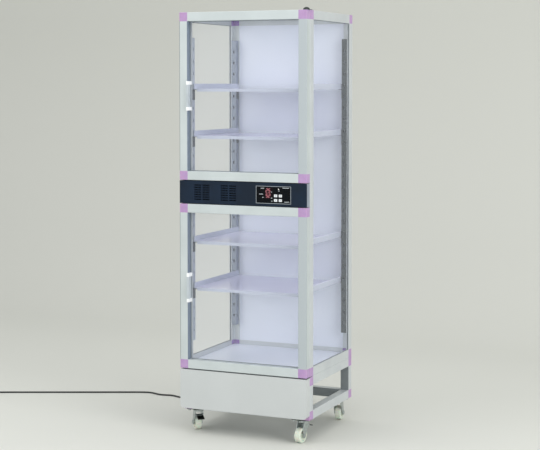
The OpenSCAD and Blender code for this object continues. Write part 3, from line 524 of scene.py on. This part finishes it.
# small plain signs on the keys: up, down, a dot and a bar, in mm
aroundDot = np.linspace(0, 2 * np.pi, 20, endpoint=False)
signs = {
    "key_up": [[-2.2, -1.4], [2.2, -1.4], [0, 2.2]],
    "key_down": [[-2.2, 1.4], [0, -2.2], [2.2, 1.4]],
    "key_set": [[1.7 * math.cos(u), 1.7 * math.sin(u)] for u in aroundDot],
    "key_mode": [[-2.6, -0.7], [2.6, -0.7], [2.6, 0.7], [-2.6, 0.7]],
}
for name, outline in signs.items():
    keyLow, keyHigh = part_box(name)
    centre = [(keyLow.x + keyHigh.x) / 2, (keyLow.z + keyHigh.z) / 2]
    points, faces = slabs(np.array([outline]) / 1000 + centre, keyLow.y - marks["ink"], marks["ink"])
    sign = addMesh(name + "_sign", points, faces, endGrey, body=name)
wear("indicator_lamp", glowing("lampLens", "#e9e9e2", 0.5))
print("display made")


glazing = {
    "width": 0.0018,      # strip seen beside the pane
    "thick": 0.0010,
    "bar": 0.030,         # the panes show inside a frame this wide
}


def stripFrame(low, high, plane, side, flat):
    # four mitred strips inside a rectangle: rings of outer and inner corners, flat and raised
    w = glazing["width"]
    corners = np.array([[low[0], low[1]], [high[0], low[1]], [high[0], high[1]], [low[0], high[1]]])
    inner = corners + np.array([[w, w], [-w, w], [-w, -w], [w, -w]])
    raised = plane + side * glazing["thick"]
    rings = [(corners, plane), (corners, raised), (inner, raised), (inner, plane)]
    points = np.array([np.insert(ring, flat, level, axis=1) for ring, level in rings]).reshape(-1, 3)
    faces = [[r * 4 + i, r * 4 + (i + 1) % 4, (r + 1) % 4 * 4 + (i + 1) % 4, (r + 1) % 4 * 4 + i]
             for r in range(4) for i in range(4)]
    # the rings run the same way round on every pane, so some have to be turned to face outwards
    turnOver = (side > 0) == (flat == 0)
    return points, [f[::-1] for f in faces] if turnOver else faces


# grey strips at the panes' edges: glazing rubber, and painted shade for the grooves beside the panes
def glazingStrips():
    b = glazing["bar"]
    frameLow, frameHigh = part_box("body_posts")
    jointLow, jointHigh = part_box("body_corner_joints")
    low, high = (frameLow.y + b, jointLow.z + b), (frameHigh.y - b, jointHigh.z - b)
    for name, side in (("left_side_panel", -1), ("right_side_panel", 1)):
        paneLow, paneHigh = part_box(name)
        plane = paneHigh.x if side > 0 else paneLow.x
        points, faces = stripFrame(low, high, plane, side, 0)
        addMesh(name + "_strip", points, faces, grooveShadeRubber)
    for door in ("upper", "lower"):
        doorLow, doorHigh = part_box(door + "_door_corners")
        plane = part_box(door + "_door_pane")[0].y
        low, high = (doorLow.x + b, doorLow.z + b), (doorHigh.x - b, doorHigh.z - b)
        points, faces = stripFrame(low, high, plane, -1, 1)
        addMesh(door + "_door_strip", points, faces, grooveShadeRubber, body=door + "_door")


glazingStrips()
print("glazing strips laid")


bolts = {
    "spacing": 0.0225,
    "acrossFlats": 0.010,
    "headHeight": 0.004,
    "washer": 0.0062,
    "washerThick": 0.0012,
    "chamfer": (0.0007, 0.0004),    # in from the edge and up from the end of a head
    "plateHalf": 0.031,
    "plateThick": 0.0025,
    "core": 1e-5,                   # radius left open at the middle of a cap
}


def turned(profile, sides):
    # profile of (radius, height) pairs spun about the upright axis
    profile = np.asarray(profile, float)
    u = np.linspace(0, 2 * np.pi, sides, endpoint=False)
    ring = profile[:, 0, None] * np.exp(1j * u)[None]
    points = np.stack([ring.real, ring.imag, np.repeat(profile[:, 1:], sides, 1)], -1)
    return points.reshape(-1, 3), gridFaces(len(profile), sides)


def castorBolts():
    # a washer and a six-sided head under each hole of the plates, at the points that meet a bar
    low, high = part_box("castor_plates")
    top = high.z - bolts["plateThick"]
    half, core, t = bolts["plateHalf"], bolts["core"], bolts["washerThick"]
    flat = bolts["acrossFlats"] / 2 / math.cos(math.pi / 6)
    w, end = bolts["washer"], t + bolts["headHeight"]
    inset, lift = bolts["chamfer"]
    washer = turned([(core, 0), (w, 0), (w, -t), (core, -t)], 24)
    head = turned([(core, -t), (flat, -t), (flat, lift - end), (flat - inset, -end), (core, -end)], 6)
    points, faces = [], []
    for cx, outX in ((low.x + half, -1), (high.x - half, 1)):
        for cy, outY in ((low.y + half, -1), (high.y - half, 1)):
            for dx, dy in ((outX, outY), (outX, -outY), (-outX, outY)):
                for part, rings in (washer, head):
                    start = sum(len(p) for p in points)
                    points.append(part + [cx + dx * bolts["spacing"], cy + dy * bolts["spacing"], top])
                    faces += [[start + i for i in f][::-1] for f in rings]
    piece = addMesh("castor_bolts", np.vstack(points), faces, brightSteel)


castorBolts()
print("bolts made")


lead = {
    "diameter": 0.006,
    "length": 2.0,
    "sides": 12,
    "coilCentre": (-1.191, 0.013),
    "coilStart": (-0.40, 0.915),     # way from the centre to where the lead meets the coil
    "coilTurns": 3.184,
    "coilPoints": 110,
    # turns laid so far, with the coil's radius and with its height there
    "rings": [(0, 0.036), (0.80, 0.036), (1.0, 0.030), (1.72, 0.030), (1.84, 0.033), (3.2, 0.033)],
    "rises": [(0, 0.003), (1.5, 0.003), (1.72, 0.0092), (3.2, 0.0092)],
}


def curveThrough(points, steps):
    # Catmull-Rom: between b and c, a cubic that leaves b along c - a and meets c along d - b
    p = np.vstack([points[0], points, points[-1]])
    a, b, c, d = (p[i:len(p) - 3 + i, None] for i in range(4))
    t = (np.arange(steps) / steps)[None, :, None]
    line = 0.5 * (2 * b + (c - a) * t + (2 * a - 5 * b + 4 * c - d) * t**2 + (3 * b - a - 3 * c + d) * t**3)
    return np.vstack([line.reshape(-1, 3), points[-1]])


def tubeAlong(path, radius, sides):
    # circles of the given radius square to the path: path + r (cos u across + sin u up)
    ahead = np.gradient(path, axis=0)
    ahead /= np.linalg.norm(ahead, axis=1, keepdims=True)
    across = np.zeros_like(ahead)
    side = np.cross(ahead[0], [1.0, 0, 0] if abs(ahead[0, 0]) < 0.9 else [0, 1.0, 0])
    for i, way in enumerate(ahead):    # carried along so that the tube never twists
        side = side - way * side.dot(way)
        side /= np.linalg.norm(side)
        across[i] = side
    up = np.cross(ahead, across)
    u = np.linspace(0, 2 * np.pi, sides, endpoint=False)
    turn = np.stack([np.cos(u), np.sin(u)])[:, None, :, None]
    rings = path[:, None] + radius * (turn[0] * across[:, None] + turn[1] * up[:, None])
    faces = gridFaces(len(path), sides)
    last = (len(path) - 1) * sides
    faces += [list(range(sides))[::-1], list(range(last, last + sides))]
    return rings.reshape(-1, 3), faces


def leadPath():
    # from the gland at x, y, z down the back, then over the floor at height f, all in mm
    x, y, z, f = -176.5, 249.0, 210.0, 3.0
    route = np.array([
        [x, y, z], [x, y + 13, z], [x, y + 26.8, z - 2.7], [x, y + 38.5, z - 10.5], [x, y + 46.3, z - 22.2],
        [x, y + 49, z - 36], [x - 0.5, y + 49.5, z - 50], [x - 2, y + 49.5, z - 66], [x - 5, y + 49, z - 85],
        [x - 10, y + 47, z - 106], [x - 17, y + 45.5, z - 128], [x - 26, y + 43.5, z - 149],
        [x - 36.5, y + 41, z - 167.5], [x - 50, y + 38.5, z - 184], [x - 67, y + 35.5, z - 196.5],
        [x - 87, y + 32.5, z - 204.2], [x - 109, y + 30, z - 206.9], [x - 133, y + 28, f],
        [-346, 273.5, f], [-400, 270, f], [-440, 266.5, f], [-468, 268, f], [-492, 275, f], [-512, 283, f],
        [-530, 287, f], [-548, 284.5, f], [-566, 281.5, f], [-584, 284, f], [-603, 292, f], [-622, 297.5, f],
        [-644, 295, f], [-680, 282, f], [-790, 233, f], [-930, 171, f], [-1070, 109, f], [-1140, 78, f],
        [-1190, 54, f], [-1205.4, 45.94, f],
    ]) / 1000
    laid = curveThrough(route, steps=10)
    # coil: one turn outside, one inside it, then a climb and the last turn on top
    cx, cy = lead["coilCentre"]
    startX, startY = lead["coilStart"]
    turns = np.linspace(0, lead["coilTurns"], lead["coilPoints"])[1:]
    ring = np.interp(turns, *zip(*lead["rings"]))
    rise = np.interp(turns, *zip(*lead["rises"]))
    u = math.atan2(startY, startX) + 2 * np.pi * turns
    coil = np.stack([cx + ring * np.cos(u), cy + ring * np.sin(u), rise], 1)
    x, y = coil[-1, :2]
    tail = curveThrough(np.array([coil[-1], [x, y - 0.012, 0.0092], [x - 0.0010, y - 0.024, 0.0088],
                                  [x - 0.003, y - 0.040, 0.007]]), steps=6)
    return np.vstack([laid, coil, tail[1:]])


path = leadPath()
print("lead: %.3f m" % np.linalg.norm(np.diff(path, axis=0), axis=1).sum())
points, faces = tubeAlong(path, lead["diameter"] / 2, lead["sides"])
flex = addMesh("mains_lead", points, faces, pvc, smooth=True)
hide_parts("cord_lead", "cord_coil", "cord_tail")
print("lead laid")


studio = {
    "floorHex": "#d4d5cf",
    # the wall part is painted darker than the floor: painted shade where less light reaches up the sweep
    "wallShadedHex": "#c2c3bd",
    "wallFrom": 1.6,     # metres behind the cabinet where the floor starts to rise
    "bend": 1.6,
    "reach": 9.0,        # metres to each side and ahead
    "height": 7.0,
    "fade": (-1.2, 2.6), # the floor's colour turns into the wall's painted shade between these
    "airHex": "#eceded",
    "air": 1.03,
}
# place, what it points at, size in metres, watts
lamps = {
    "overhead": ((0.2, -0.6, 4.2), (0, 0.2, 0), (4.0, 4.0), 52),
    "frontFill": ((1.2, -5.4, 1.1), (0, 0, 0.6), (3.0, 1.8), 30),
    "leftKey": ((-3.2, -3.2, 2.8), (0, 0, 0.8), (2.4, 2.4), 26),
    "rightFill": ((4.6, -2.0, 2.2), (0, 0, 0.8), (2.4, 2.8), 104),
}


def backdrop():
    # floor that turns up into a wall along a quarter circle: profile carried across X
    s, r = studio["wallFrom"], studio["bend"]
    turn = np.linspace(0, np.pi / 2, 24)
    reach = studio["reach"]
    curve = np.stack([s + r * np.sin(turn), r - r * np.cos(turn)], 1)
    line = np.vstack([[[-reach, 0.0]], curve, [[s + r, studio["height"]]]])
    x = np.tile([-reach, reach], (len(line), 1))
    grid = np.stack([x, np.repeat(line[:, :1], 2, 1), np.repeat(line[:, 1:], 2, 1)], -1)
    material = bpy.data.materials.new("studioPaper")    # matt paper sweep
    material.use_nodes = True
    tree = material.node_tree
    shader = tree.nodes["Principled BSDF"]
    shader.inputs["Roughness"].default_value = 0.9
    place = addNode(tree, "SeparateXYZ", {0: addNode(tree, "TexCoord").outputs["Object"]})
    near, away = studio["fade"]
    far = addNode(tree, "MapRange", {"Value": place.outputs[1], "From Min": near, "From Max": away})
    colour = addNode(tree, "Mix", data_type="RGBA")
    tree.links.new(far.outputs[0], colour.inputs["Factor"])
    colour.inputs[6].default_value = linear(studio["floorHex"])
    colour.inputs[7].default_value = linear(studio["wallShadedHex"])
    tree.links.new(colour.outputs[2], shader.inputs["Base Color"])
    mesh = bpy.data.meshes.new("studio_paper")
    mesh.from_pydata(grid.reshape(-1, 3).tolist(), [], gridFaces(len(line), 2, closed=False))
    mesh.polygons.foreach_set("use_smooth", np.ones(len(mesh.polygons), bool))
    mesh.materials.append(material)
    sheet = bpy.data.objects.new("studio_paper", mesh)
    bpy.context.scene.collection.objects.link(sheet)
    sheet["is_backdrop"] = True


def softbox(name, place, target, size, power):
    lamp = bpy.data.lights.new(name, "AREA")
    lamp.shape = "RECTANGLE"
    lamp.size, lamp.size_y = size
    lamp.energy = power
    box = bpy.data.objects.new(name, lamp)
    box.location = place
    way = np.array(target, float) - np.array(place, float)
    box.rotation_mode = "QUATERNION"
    box.rotation_quaternion = Vector(way).to_track_quat("-Z", "Y")
    bpy.context.scene.collection.objects.link(box)


backdrop()
for name, lamp in lamps.items():
    softbox(name, *lamp)

world = bpy.data.worlds.new("studioAir")
world.use_nodes = True
air = world.node_tree.nodes["Background"]
air.inputs["Color"].default_value = linear(studio["airHex"])
air.inputs["Strength"].default_value = studio["air"]
bpy.context.scene.world = world

lens = {
    "place": (1.9631, -4.4445, 1.1878),
    "yaw": 23.72,      # degrees, looking back to the left
    "down": 3.0,
    "focal": 93.8,     # mm on a 36 mm sensor
    "shift": -0.1218,
}
camera = bpy.data.cameras.new("camera")
camera.lens = lens["focal"]
camera.sensor_width = 36
camera.shift_y = lens["shift"]
eye = bpy.data.objects.new("camera", camera)
eye.location = lens["place"]
eye.rotation_euler = (math.radians(90 - lens["down"]), 0, math.radians(lens["yaw"]))
bpy.context.scene.collection.objects.link(eye)
bpy.context.scene.camera = eye
bpy.context.scene.view_settings.view_transform = "Standard"
print("studio set")

low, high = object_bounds()
